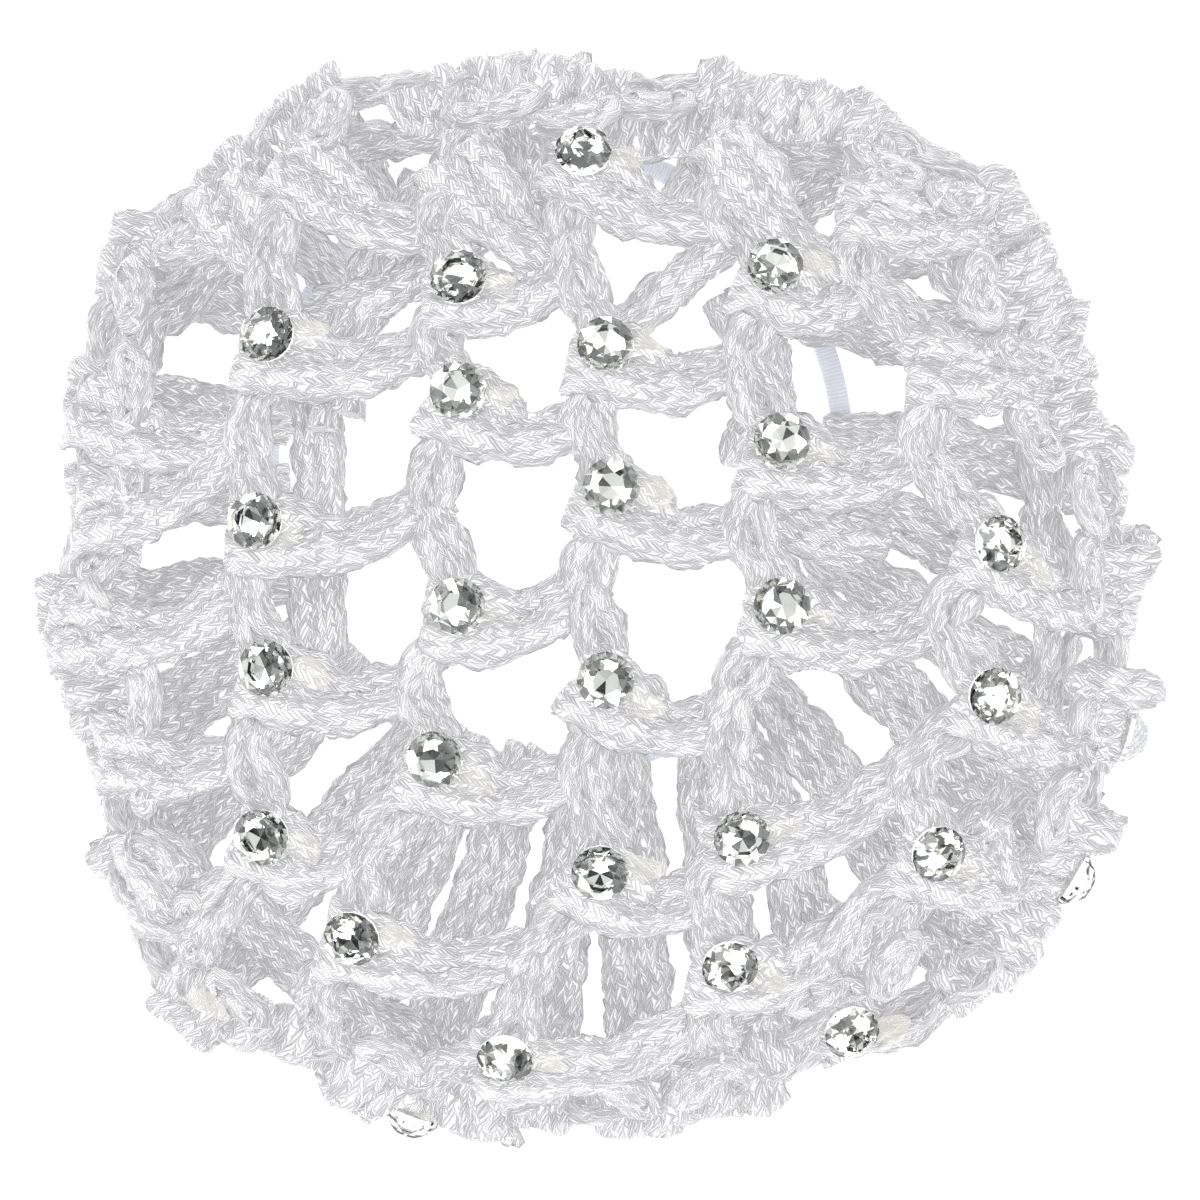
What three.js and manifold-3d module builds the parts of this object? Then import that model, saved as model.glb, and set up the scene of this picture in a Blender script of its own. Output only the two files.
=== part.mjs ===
// A crocheted hair snood: a round net of knit tape, gathered on a ring of elastic, with cut stones on its
// stitches. It lies crown up on its gathered side. Millimetres, +Z up, x to the right and y to the top of the
// crown as it is seen from above.
import * as THREE from 'three';
import { ConvexGeometry } from 'three/addons/geometries/ConvexGeometry.js';
import { mergeVertices } from 'three/addons/utils/BufferGeometryUtils.js';
import Module from 'manifold-3d';

// Net
const SNOOD_RADIUS = 46.5; // middle of the snood to the outside of its widest round
const CROWN_RISE = 18; // middle of the crown above the widest round
const FOLD_DROP = 6.5; // widest round above the strands that lie underneath
const FOLD_REACH = 8; // how far the net curls in before it lies flat underneath
const ROUND_WIDTH = 4; // chain of the widest round
const ROW_WIDTH = 4; // upright chain rows
const LINK_WIDTH = 5.6; // flat ribbon loops between the rows
const HANGER_WIDTH = 3.4; // strands from the widest round to the elastic
const STRAND_THICKNESS = 2.5; // rows and widest round
const LINK_THICKNESS = 2.8;
const HANGER_THICKNESS = 1.9;
const KNOT_REACH = 2.6; // how far a link's first loop reaches behind its row
const KNOT_DROP = 1.2; // middle of that loop below the stone that it carries
const LINK_SAG = 1.6; // how far a link hangs down between two rows
const PRESSED_FLAT = 0.35; // taken off the underside where the net lies on it

// Elastic
const ELASTIC_DIAMETER = 1.8;
const ELASTIC_HALF_WIDTH = 24.4;
const ELASTIC_HALF_LENGTH = 26.2;
const ELASTIC_INSET = 4.5; // elastic inside the widest round at the top
const ELASTIC_LOOP_WALL = 1.2; // net loops round the elastic
const ELASTIC_LOOP_WIDTH = 1.6;

// Stones
const STONE_DIAMETER = 4.75;
const STONE_HEIGHT = 1.9;
const CLEARANCE = 0.3; // stones to the knots under them, and loops to the elastic

// Shares and counts
const TABLE_SHARE = 0.5; // of a stone's diameter
const ELASTIC_SIDE_SHARE = -0.08; // sideways place of the elastic, of the snood's radius
const FACETS = 8; // round a stone's table
const ROUND_STEPS = 2; // between two stitches of the widest round
const CURL_STEPS = 3; // in a hanger's quarter turn under the net
const ELASTIC_SIDES = 8;
const ELASTIC_STEPS = 18;
const LOOP_SIDES = 5; // loops round the elastic

// The widest round, anticlockwise from the right: a stitch's angle, its outer radius as a share of
// SNOOD_RADIUS, how far round the elastic its strand leans, in degrees, and whether it carries a stone.
const ROUND_COLUMNS = { angle: 0, radius: 1, lean: 2, stone: 3 };
const ROUND = [
  [0, 0.965, 6], [14, 0.965, 6], [29, 0.975, 14], [44, 1.05, 8], [60, 1.015, 2], [75, 0.99, 0],
  [90, 0.945, 0], [105, 0.99, 0], [120, 1.065, 0], [132, 1.045, 0], [144, 1.085, -2], [158, 1.025, 0],
  [169, 0.96, 0], [182, 0.995, 6], [196, 0.95, 2], [210, 1.01, 2], [225, 1.075, 6], [240, 0.985, 2],
  [250, 0.98, 6, true], [262, 0.96, 8], [275, 0.955, 6], [286, 0.945, 12], [300, 0.925, 8],
  [315, 1, 4], [329.5, 0.98, 10, true], [345.6, 0.97, 6, true],
];

// The upright rows, left to right: the angles at which a row leaves the widest round at the top and joins it
// at the bottom, how far its landings sway left, and its stitches from top to bottom. The sway and a stitch's
// x and y are shares of SNOOD_RADIUS.
const STITCH_COLUMNS = { x: 0, y: 1, stone: 2 };
const ROWS = [
  {
    top: 120, bottom: 225, sway: 0.04,
    stitches: [
      [-0.54, 0.80], [-0.59, 0.47, true], [-0.61, 0.14, true], [-0.59, -0.12, true], [-0.60, -0.42, true],
    ],
  },
  {
    top: 105, bottom: 240, sway: 0.05,
    stitches: [
      [-0.24, 0.79], [-0.25, 0.57, true], [-0.25, 0.37, true], [-0.25, -0.01, true], [-0.29, -0.28, true],
      [-0.44, -0.60, true],
    ],
  },
  {
    top: 90, bottom: 250, sway: 0.04,
    stitches: [
      [-0.03, 0.80, true], [0.01, 0.45, true], [0.02, 0.20, true], [0.01, -0.14, true], [0, -0.48, true],
      [-0.17, -0.82, true],
    ],
  },
  {
    top: 75, bottom: 286, sway: 0.05,
    stitches: [
      [0.25, 0.82], [0.31, 0.59, true], [0.32, 0.28, true], [0.32, -0.01, true], [0.25, -0.42, true],
      [0.23, -0.65, true],
    ],
  },
  {
    top: 60, bottom: 300, sway: 0.08,
    stitches: [
      [0.50, 0.72], [0.62, 0.44], [0.71, 0.10, true], [0.70, -0.17, true], [0.60, -0.45, true],
      [0.46, -0.79, true],
    ],
  },
];
const LEFT_LINKS = [132, 158, 169, 182, 196, 210]; // stitches of the widest round that link to the first row

const UP = new THREE.Vector3(0, 0, 1);
const wasm = await Module();
wasm.setup();

const netTape = new THREE.MeshStandardMaterial({ color: 0xeceaf2, roughness: 0.45, metalness: 0 });
const elasticRubber = new THREE.MeshStandardMaterial({ color: 0xdfe4f1, roughness: 0.5, metalness: 0 });
const crystal = new THREE.MeshStandardMaterial({ color: 0xb9c0c2, roughness: 0.05, metalness: 0.6 });

// Places on the net
const lyingHeight = HANGER_THICKNESS / 2 - PRESSED_FLAT;
const roundHeight = lyingHeight + FOLD_DROP;

function roundRadius(angle) {
  const column = ROUND_COLUMNS;
  const next = Math.max(ROUND.findIndex((stitch) => stitch[column.angle] > angle), 0);
  const after = ROUND[next];
  const before = ROUND.at(next - 1);
  const span = (after[column.angle] - before[column.angle] + 360) % 360;
  const share = (angle - before[column.angle]) / span;
  const outer = THREE.MathUtils.lerp(before[column.radius], after[column.radius], share) * SNOOD_RADIUS;
  return outer - STRAND_THICKNESS / 2;
}

function roundStation(angle) {
  const turn = angle * THREE.MathUtils.DEG2RAD;
  const outward = new THREE.Vector3(Math.cos(turn), Math.sin(turn), 0);
  const point = outward.clone().multiplyScalar(roundRadius(angle)).setZ(roundHeight);
  return { point, outward };
}

function crownStation(x, y) {
  const angle = (Math.atan2(y, x) * THREE.MathUtils.RAD2DEG + 360) % 360;
  const reach = roundRadius(angle);
  const rise = CROWN_RISE * Math.sqrt(Math.max(1 - (x * x + y * y) / (reach * reach), 0));
  const outward = new THREE.Vector3(x / reach ** 2, y / reach ** 2, rise / CROWN_RISE ** 2).normalize();
  return { point: new THREE.Vector3(x, y, roundHeight + rise), outward };
}

function halfway(from, to, leftward, downward) {
  const x = (from.point.x + to.point.x) / 2 - leftward;
  return crownStation(x, (from.point.y + to.point.y) / 2 - downward);
}

// A strand turns its flat side outward, and has its corners at its stations.
class StrandPath extends THREE.CatmullRomCurve3 {
  constructor(stations) {
    super(stations.map((station) => station.point));
    this.facing = new THREE.CatmullRomCurve3(stations.map((station) => station.outward));
  }

  getSpacedPoints(steps) {
    return this.getPoints(steps);
  }

  computeFrenetFrames(steps) {
    const frames = { tangents: [], normals: [], binormals: [] };
    for (let i = 0; i <= steps; i++) {
      const tangent = this.getTangent(i / steps);
      const across = this.facing.getPoint(i / steps).cross(tangent).normalize();
      frames.tangents.push(tangent);
      frames.normals.push(across);
      frames.binormals.push(tangent.clone().cross(across));
    }
    return frames;
  }
}

// A chain is lumpy and nearly round, a ribbon loop is flat.
function chainSection(width) {
  const half = STRAND_THICKNESS / 2;
  return new THREE.Shape([
    new THREE.Vector2(width / 2, 0),
    new THREE.Vector2(width / 4, half),
    new THREE.Vector2(-width / 4, half),
    new THREE.Vector2(-width / 2, 0),
    new THREE.Vector2(-width / 4, -half),
    new THREE.Vector2(width / 4, -half),
  ]);
}

function ribbonSection(width, thickness) {
  const half = thickness / 2;
  return new THREE.Shape([
    new THREE.Vector2(width / 2, -half),
    new THREE.Vector2(width / 2, half),
    new THREE.Vector2(-width / 2, half),
    new THREE.Vector2(-width / 2, -half),
  ]);
}

function strand(stations, section, stepsEach = 1) {
  const steps = (stations.length - 1) * stepsEach;
  return new THREE.ExtrudeGeometry(section, { steps, extrudePath: new StrandPath(stations) });
}

function solidOf(geometry) {
  const bare = geometry.clone();
  bare.deleteAttribute('normal');
  bare.deleteAttribute('uv');
  const welded = mergeVertices(bare);
  return new wasm.Manifold(new wasm.Mesh({
    numProp: 3,
    vertProperties: new Float32Array(welded.attributes.position.array),
    triVerts: new Uint32Array(welded.index.array),
  }));
}

function geometryOf(solid) {
  const mesh = solid.getMesh();
  const geometry = new THREE.BufferGeometry();
  geometry.setAttribute('position', new THREE.BufferAttribute(mesh.vertProperties, mesh.numProp));
  geometry.setIndex(new THREE.BufferAttribute(mesh.triVerts, 1));
  return geometry;
}

// Rows and links of the crown
const stitchesOfRound = ROUND.map((stitch) => ({
  ...roundStation(stitch[ROUND_COLUMNS.angle]),
  angle: stitch[ROUND_COLUMNS.angle],
  lean: stitch[ROUND_COLUMNS.lean] * THREE.MathUtils.DEG2RAD,
  stone: Boolean(stitch[ROUND_COLUMNS.stone]),
}));
const stoneLift = LINK_THICKNESS / 2 + CLEARANCE;

function rowStitch(stitch) {
  const x = stitch[STITCH_COLUMNS.x] * SNOOD_RADIUS;
  const y = stitch[STITCH_COLUMNS.y] * SNOOD_RADIUS;
  const lean = crownStation(x, y).outward.multiplyScalar(stoneLift);
  return { ...crownStation(x - lean.x, y - lean.y), stone: Boolean(stitch[STITCH_COLUMNS.stone]) };
}

const rows = ROWS.map((row) => {
  const top = roundStation(row.top);
  const bottom = roundStation(row.bottom);
  const stitches = row.stitches.map(rowStitch);
  const ends = [...stitches, bottom];
  const landings = stitches.map((stitch, i) => halfway(stitch, ends[i + 1], row.sway * SNOOD_RADIUS, 0));
  const stations = [top, ...stitches.flatMap((stitch, i) => [stitch, landings[i]]), bottom];
  return { stitches, landings, stations };
});

function nearestInHeight(stations, stitch) {
  const gap = (station) => Math.abs(station.point.y - stitch.point.y);
  return stations.reduce((best, station) => (gap(station) < gap(best) ? station : best));
}

// A row's link starts with a loop round the row from behind, the flat knot that a stone is glued to.
function link(from, to) {
  const stations = [from];
  if (!stitchesOfRound.includes(from)) {
    stations[0] = crownStation(from.point.x, from.point.y - KNOT_DROP);
    const along = to.point.clone().sub(stations[0].point).setZ(0).setLength(KNOT_REACH);
    stations.unshift(crownStation(stations[0].point.x - along.x, stations[0].point.y - along.y));
  }
  stations.push(halfway(stations.at(-1), to, 0, LINK_SAG), to);
  return strand(stations, ribbonSection(LINK_WIDTH, LINK_THICKNESS));
}

const leftStitches = stitchesOfRound.filter((stitch) => LEFT_LINKS.includes(stitch.angle));
const rightStitches = stitchesOfRound.filter((stitch) => stitch.point.x > rows.at(-1).stitches[0].point.x);
const columns = [{ stitches: leftStitches }, ...rows, { landings: rightStitches }];
const netPieces = rows.map((row) => strand(row.stations, chainSection(ROW_WIDTH)));
for (let i = 0; i + 1 < columns.length; i++) {
  for (const stitch of columns[i].stitches) {
    netPieces.push(link(stitch, nearestInHeight(columns[i + 1].landings, stitch)));
  }
}

// The widest round, laid in two halves that overlap by one stitch
const roundCount = stitchesOfRound.length;
for (const start of [0, roundCount / 2]) {
  const half = [...stitchesOfRound, ...stitchesOfRound].slice(start, start + roundCount / 2 + 2);
  netPieces.push(strand(half, chainSection(ROUND_WIDTH), ROUND_STEPS));
}

// Elastic
const elasticMiddle = new THREE.Vector3(
  ELASTIC_SIDE_SHARE * SNOOD_RADIUS,
  roundRadius(90) - ELASTIC_INSET - ELASTIC_HALF_LENGTH,
  ELASTIC_DIAMETER / 2 + CLEARANCE + ELASTIC_LOOP_WALL - PRESSED_FLAT,
);

function elasticRing() {
  const radius = ELASTIC_DIAMETER / 2;
  const ring = new THREE.TorusGeometry(ELASTIC_HALF_WIDTH, radius, ELASTIC_SIDES, ELASTIC_STEPS);
  const places = ring.attributes.position;
  for (let i = 0; i < places.count; i++) {
    const turn = Math.atan2(places.getY(i), places.getX(i));
    const longer = (ELASTIC_HALF_LENGTH - ELASTIC_HALF_WIDTH) * Math.sin(turn);
    places.setY(i, places.getY(i) + longer);
  }
  ring.translate(elasticMiddle.x, elasticMiddle.y, elasticMiddle.z);
  return ring;
}

// Strands that curl under from the widest round and loop round the elastic
function hanger(stitch) {
  const start = stitch.point;
  const straightIn = Math.atan2(
    (start.y - elasticMiddle.y) / ELASTIC_HALF_LENGTH,
    (start.x - elasticMiddle.x) / ELASTIC_HALF_WIDTH,
  );
  const turn = straightIn + stitch.lean;
  const oval = new THREE.Vector3(ELASTIC_HALF_WIDTH, ELASTIC_HALF_LENGTH, 0);
  const end = new THREE.Vector3(Math.cos(turn), Math.sin(turn), 0).multiply(oval).add(elasticMiddle);
  const along = new THREE.Vector3(-Math.sin(turn), Math.cos(turn), 0).multiply(oval).normalize();
  const inward = new THREE.Vector3(end.x - start.x, end.y - start.y, 0);
  const loopRadius = ELASTIC_DIAMETER / 2 + CLEARANCE + ELASTIC_LOOP_WALL / 2;
  const reach = inward.length() - loopRadius;
  const curl = reach > FOLD_REACH + HANGER_WIDTH ? FOLD_REACH : reach;
  inward.normalize();
  const stations = [];
  for (let i = 0; i <= CURL_STEPS; i++) {
    const bend = i / CURL_STEPS * Math.PI / 2;
    const point = start.clone().addScaledVector(inward, curl * (1 - Math.cos(bend)));
    point.z -= FOLD_DROP * Math.sin(bend);
    const outward = inward.clone().multiplyScalar(-Math.cos(bend)).setZ(-Math.sin(bend));
    stations.push({ point, outward });
  }
  if (reach > curl) {
    const { point, outward } = stations.at(-1);
    stations.push({ point: point.clone().addScaledVector(inward, reach - curl), outward });
  }
  return { stations, end, along };
}

function elasticLoop(end, along) {
  const cornerShare = 1 / Math.cos(Math.PI / LOOP_SIDES);
  const inner = cornerShare * (ELASTIC_DIAMETER / 2 + CLEARANCE);
  const outer = inner + cornerShare * ELASTIC_LOOP_WALL;
  const half = ELASTIC_LOOP_WIDTH / 2;
  const profile = [
    new THREE.Vector2(inner, -half),
    new THREE.Vector2(outer, -half),
    new THREE.Vector2(outer, half),
    new THREE.Vector2(inner, half),
    new THREE.Vector2(inner, -half),
  ];
  const loop = new THREE.LatheGeometry(profile, LOOP_SIDES);
  const across = new THREE.Vector3().crossVectors(along, UP);
  loop.rotateY(Math.PI / LOOP_SIDES);
  loop.applyMatrix4(new THREE.Matrix4().makeBasis(across, along, UP));
  loop.translate(end.x, end.y, end.z);
  return loop;
}

for (const { stations, end, along } of stitchesOfRound.map(hanger)) {
  netPieces.push(strand(stations, ribbonSection(HANGER_WIDTH, HANGER_THICKNESS)));
  netPieces.push(elasticLoop(end, along));
}

// Stones
const stitches = [...rows.flatMap((row) => row.stitches), ...stitchesOfRound];
const stoneStitches = stitches.filter((stitch) => stitch.stone);

function cutStone() {
  const ring = (radius, height, count, turn) => Array.from({ length: count }, (_, i) => {
    const angle = (i + turn) * 2 * Math.PI / count;
    return new THREE.Vector3(radius * Math.cos(angle), radius * Math.sin(angle), height);
  });
  return new ConvexGeometry([
    ...ring(STONE_DIAMETER * TABLE_SHARE / 2, STONE_HEIGHT, FACETS, 0.5),
    ...ring(STONE_DIAMETER / 2, 0, 2 * FACETS, 0),
  ]);
}

// The net as one solid, without the closed pockets between strands that meet, and flat where it lies
const joined = netPieces.map(solidOf).reduce((whole, piece) => whole.add(piece));
const shells = joined.decompose().filter((shell) => shell.volume() > 0);
const packed = shells.reduce((whole, shell) => whole.add(shell));
const wellPast = 3 * SNOOD_RADIUS;
const below = new THREE.BoxGeometry(wellPast, wellPast, wellPast);
below.translate(0, 0, -wellPast / 2);
const net = new THREE.Mesh(geometryOf(packed.subtract(solidOf(below))), netTape);
net.name = 'crown_net';

const elastic = new THREE.Mesh(elasticRing(), elasticRubber);
elastic.name = 'elastic_cord';

const snood = new THREE.Group();
snood.add(net, elastic);
stoneStitches.forEach((stitch, i) => {
  const stone = new THREE.Mesh(cutStone(), crystal);
  stone.name = `stone_${String(i + 1).padStart(2, '0')}`;
  stone.quaternion.setFromUnitVectors(UP, stitch.outward);
  stone.position.copy(stitch.point).addScaledVector(stitch.outward, stoneLift);
  snood.add(stone);
});

const middle = new THREE.Box3().setFromObject(snood, true).getCenter(new THREE.Vector3());
snood.position.set(-middle.x, -middle.y, 0);

export default snood;
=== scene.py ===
import math

import bpy
import numpy as np
from mathutils import Matrix, Vector


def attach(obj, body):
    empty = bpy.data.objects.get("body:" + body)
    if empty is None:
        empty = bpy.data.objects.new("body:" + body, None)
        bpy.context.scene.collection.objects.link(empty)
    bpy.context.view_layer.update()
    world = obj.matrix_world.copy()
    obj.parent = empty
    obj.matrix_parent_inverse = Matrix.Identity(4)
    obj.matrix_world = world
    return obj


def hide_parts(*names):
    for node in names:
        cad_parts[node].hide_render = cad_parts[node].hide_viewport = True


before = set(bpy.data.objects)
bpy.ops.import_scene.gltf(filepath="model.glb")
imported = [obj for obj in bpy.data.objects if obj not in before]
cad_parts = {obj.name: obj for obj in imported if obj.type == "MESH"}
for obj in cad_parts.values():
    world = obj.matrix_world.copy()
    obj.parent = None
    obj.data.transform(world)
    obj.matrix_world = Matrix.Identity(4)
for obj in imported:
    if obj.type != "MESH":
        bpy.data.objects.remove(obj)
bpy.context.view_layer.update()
bpy.ops.object.select_all(action="DESELECT")


# Camera, floor and light
# The snood lies crown up and is seen from straight above, with its upper edge to the top of the picture. A
# long lens keeps the crown and the widest round at one scale.
MM = 0.001
PICTURE_WIDTH = 100 * MM
PICTURE_MIDDLE = (-0.01 * MM, 0.31 * MM, 15 * MM)
LENS = 250
SENSOR_WIDTH = 36

camera_data = bpy.data.cameras.new("camera")
camera_data.lens = LENS
camera_data.sensor_width = SENSOR_WIDTH
camera = bpy.data.objects.new("camera", camera_data)
distance = PICTURE_WIDTH * LENS / SENSOR_WIDTH
camera.location = Vector(PICTURE_MIDDLE) + Vector((0, 0, distance))
bpy.context.collection.objects.link(camera)
bpy.context.scene.camera = camera
bpy.context.scene.view_settings.view_transform = "Standard"


class Socket:
    """A shader value that adds Math nodes as it is reckoned with."""

    def __init__(self, nodes, socket):
        self.nodes = nodes
        self.socket = socket

    def maths(self, operation, *values, flip=False):
        operands = (*values, self) if flip else (self, *values)
        return self.nodes.add("ShaderNodeMath", {"operation": operation}, *operands)

    def __add__(self, other):
        return self.maths("ADD", other)

    def __sub__(self, other):
        return self.maths("SUBTRACT", other)

    def __mul__(self, other):
        return self.maths("MULTIPLY", other)

    def __pow__(self, other):
        return self.maths("POWER", other)

    def __rsub__(self, other):
        return self.maths("SUBTRACT", other, flip=True)

    __radd__ = __add__
    __rmul__ = __mul__

    def wrapped(self):
        return self.maths("FRACT")

    def over(self, least):
        return self.maths("GREATER_THAN", least)

    def whole(self):
        return self.maths("FLOOR")

    def size(self):
        return self.maths("ABSOLUTE")


class Finish:
    """A material whose nodes are added one by one and end in its own shader."""

    def __init__(self, name, **constants):
        self.material = bpy.data.materials.new(name)
        self.material.use_nodes = True
        self.tree = self.material.node_tree
        self.shader = self.tree.nodes["Principled BSDF"]
        self.feed(self.shader, constants)

    def feed(self, node, values):
        for name, value in values.items():
            socket = node.inputs[name.replace("_", " ") if isinstance(name, str) else name]
            if isinstance(value, Socket):
                self.tree.links.new(value.socket, socket)
            else:
                socket.default_value = value

    def add(self, kind, settings=None, *values, out=0, **named):
        node = self.tree.nodes.new(kind)
        for name, value in (settings or {}).items():
            setattr(node, name, value)
        self.feed(node, dict(enumerate(values)))
        self.feed(node, named)
        return Socket(self, node.outputs[out])

    def blend(self, share, low, high):
        node = self.tree.nodes.new("ShaderNodeMix")
        node.data_type = "RGBA"
        self.feed(node, {0: share, 6: low, 7: high})
        return Socket(self, node.outputs[2])


FLOOR_SIDE = 6  # in metres
FLOOR_GLOW = 0.5  # a lit white table, so that no shadow shows under the open net
bpy.ops.mesh.primitive_plane_add(size=FLOOR_SIDE)
floor = bpy.context.object
floor.name = "floor"
pale = Finish("pale_floor", Base_Color=(0.9, 0.9, 0.9, 1), Roughness=0.9, Specular_IOR_Level=0,
              Emission_Color=(1, 1, 1, 1), Emission_Strength=FLOOR_GLOW)
floor.data.materials.append(pale.material)

ROOM_COLOUR = (0.97, 0.98, 1, 1)
ROOM_LIGHT = 0.2
world = bpy.data.worlds.new("studio")
bpy.context.scene.world = world
world.use_nodes = True
world.node_tree.nodes["Background"].inputs["Color"].default_value = ROOM_COLOUR
world.node_tree.nodes["Background"].inputs["Strength"].default_value = ROOM_LIGHT

SOFT_BOXES = [  # name, place and size in metres, watts
    ("overhead_light", (0, 0, 1.3), 1.6, 4.8),
    ("key_light", (-0.55, 0.45, 0.8), 0.6, 6),
    ("fill_light", (0.7, -0.2, 0.7), 0.6, 4),
    ("low_light", (-0.1, -0.8, 0.5), 0.5, 3),
]
for name, place, size, watts in SOFT_BOXES:
    bpy.ops.object.light_add(type="AREA", location=place)
    light = bpy.context.object
    light.name = name
    light.data.size = size
    light.data.energy = watts
    light.rotation_euler = (-Vector(place)).to_track_quat("-Z", "Y").to_euler()

CARDS = 30  # over and round the snood, seen only by what shines, for the cut stones to mirror
CARD_REACH = 1.2  # in metres
CARD_SIDE = 0.3
CARD_FALL = 0.9  # from the top of the dome of cards to its lowest one, as a share of the reach
FIRST_CARD = 0.4  # its fall, in steps from card to card
CARD_TURN = math.pi * (3 - math.sqrt(5))  # about 137.5 degrees, which spreads the cards evenly
black = Finish("black_card", Base_Color=(0.004, 0.004, 0.005, 1), Roughness=1, Specular_IOR_Level=0)
white = Finish("white_card", Roughness=1, Specular_IOR_Level=0, Emission_Color=(1, 1, 1, 1),
               Emission_Strength=0.85)
warm = Finish("warm_card", Roughness=1, Specular_IOR_Level=0, Emission_Color=(0.9, 0.78, 0.62, 1),
              Emission_Strength=0.6)
CARD_ORDER = [black, white, black, warm, black]
for number in range(CARDS):
    height = 1 - (number + FIRST_CARD) / CARDS * CARD_FALL
    turn = number * CARD_TURN
    flat = math.sqrt(1 - height ** 2)
    bpy.ops.mesh.primitive_plane_add(size=CARD_SIDE)
    card = bpy.context.object
    card.name = f"studio_card_{number + 1:02d}"
    towards = Vector((flat * math.cos(turn), flat * math.sin(turn), height))
    card.location = towards * CARD_REACH
    card.rotation_euler = towards.to_track_quat("Z", "Y").to_euler()
    card.data.materials.append(CARD_ORDER[number % len(CARD_ORDER)].material)
    card.visible_camera = card.visible_diffuse = card.visible_shadow = False


# Upright rows of the crown
# Five rows of crochet chain run from the top of the widest round over the crown to its bottom. Each chain is
# a satin knit tape about 4 mm wide, curled to half of that where it is pulled through a stitch.
SNOOD_RADIUS = 46.5
CROWN_RISE = 18
FOLD_DROP = 6.5
FOLD_REACH = 8
STRAND_THICKNESS = 2.5
LYING_HEIGHT = 0.6
ROUND_HEIGHT = LYING_HEIGHT + FOLD_DROP
CENTRING = np.array([-0.009, 0.306, 0])  # from the middle of the rounds to the middle of the snood's box
ROUND = [  # a stitch's angle, its outer radius as a share of SNOOD_RADIUS, its strand's lean, 1 for a stone
    (0, 0.955, 6, 0), (14, 0.965, 6, 0), (29, 0.975, 14, 0), (44, 1.04, 8, 0), (60, 1.015, 2, 0),
    (75, 0.98, 0, 0), (90, 0.945, 0, 0), (105, 0.99, 0, 0), (120, 1.065, 0, 0), (132, 1.045, 0, 0),
    (144, 1.085, -2, 0), (158, 1.015, 0, 0), (169, 0.96, 0, 0), (182, 0.995, 6, 0), (196, 0.95, 2, 0),
    (210, 1.01, 2, 0), (225, 1.075, 6, 0), (240, 0.97, 2, 0), (250, 0.98, 6, 1), (262, 0.945, 8, 0),
    (275, 0.955, 6, 0), (286, 0.945, 12, 0), (300, 0.925, 8, 0), (315, 0.99, 4, 0), (329.5, 0.98, 10, 1),
    (345.6, 0.97, 6, 1),
]
ROWS = [  # top and bottom angle, sway of the landings, stitches from top to bottom as x, y, 1 for a stone
    (120, 225, 0.04, [
        (-0.54, 0.80, 0), (-0.59, 0.47, 1), (-0.61, 0.14, 1), (-0.59, -0.12, 1), (-0.60, -0.42, 1),
    ]),
    (105, 240, 0.05, [
        (-0.24, 0.79, 0), (-0.25, 0.57, 1), (-0.25, 0.37, 1), (-0.25, -0.01, 1), (-0.29, -0.28, 1),
        (-0.44, -0.60, 1),
    ]),
    (90, 250, 0.04, [
        (-0.03, 0.80, 1), (0.01, 0.45, 1), (0.02, 0.20, 1), (0.01, -0.14, 1), (0, -0.48, 1),
        (-0.17, -0.82, 1),
    ]),
    (75, 286, 0.05, [
        (0.25, 0.82, 0), (0.31, 0.59, 1), (0.32, 0.28, 1), (0.32, -0.01, 1), (0.25, -0.42, 1),
        (0.23, -0.65, 1),
    ]),
    (60, 300, 0.08, [
        (0.50, 0.72, 0), (0.62, 0.44, 0), (0.71, 0.10, 1), (0.70, -0.17, 1), (0.60, -0.45, 1),
        (0.46, -0.79, 1),
    ]),
]
STONE_LIFT = 1.7  # of a stone's back over the middle of the row
STONE_BED = 1.4  # where the tape under a stone lies
BED_REACH = 3.3  # from the stone's middle to where the tape is free of it
BED_EDGE = 0.7  # over which the tape rises from the bed
EDGE_PLACE = (0.46, -0.79)  # of the stone that lies on the curl of the net and faces half up


def unit(vectors):
    return vectors / np.linalg.norm(vectors, axis=-1, keepdims=True)


def round_radius(angle):
    angles = [stitch[0] for stitch in ROUND] + [360]
    shares = [stitch[1] for stitch in ROUND] + [ROUND[0][1]]
    return np.interp(angle % 360, angles, shares) * SNOOD_RADIUS - STRAND_THICKNESS / 2


def round_station(angle):
    """A place on the middle of the widest round, and which way is outwards there."""
    outward = np.array([math.cos(math.radians(angle)), math.sin(math.radians(angle)), 0])
    return outward * round_radius(angle) + (0, 0, ROUND_HEIGHT), outward


def crown_station(x, y):
    """The place on the crown above that point of its plan, and which way is outwards there."""
    reach = round_radius(math.degrees(math.atan2(y, x)))
    rise = CROWN_RISE * math.sqrt(max(1 - (x * x + y * y) / reach ** 2, 0))
    outward = unit(np.array([x / reach ** 2, y / reach ** 2, rise / CROWN_RISE ** 2]))
    return np.array([x, y, ROUND_HEIGHT + rise]), outward


def row_stitch(x, y):
    """The place on a row whose stone is seen at those shares of the snood's radius."""
    place, outward = crown_station(x * SNOOD_RADIUS, y * SNOOD_RADIUS)
    lean = outward * STONE_LIFT
    return crown_station(place[0] - lean[0], place[1] - lean[1])


row_places = [(x, y) for _, _, _, stitches in ROWS for x, y, stone in stitches if stone]
stone_places = [row_stitch(x, y) for x, y in row_places]
stone_places += [round_station(stitch[0]) for stitch in ROUND if stitch[3]]
edge_stone = row_places.index(EDGE_PLACE)
place, outward = stone_places[edge_stone]
stone_places[edge_stone] = (place, unit(outward + (0, 0, 1)))


def pressed(points):
    """The points of a tape, pushed in by the stones that are glued on it."""
    for place, outward in stone_places:
        offset = points - place
        height = offset @ outward
        sideways = np.linalg.norm(offset - height[..., None] * outward, axis=-1)
        share = np.clip((BED_REACH - sideways) / BED_EDGE, 0, 1)
        above = np.maximum(height - STONE_BED, 0) * (height < 2 * BED_REACH)
        points = points - outward * (above * share)[..., None]
    return points


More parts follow.
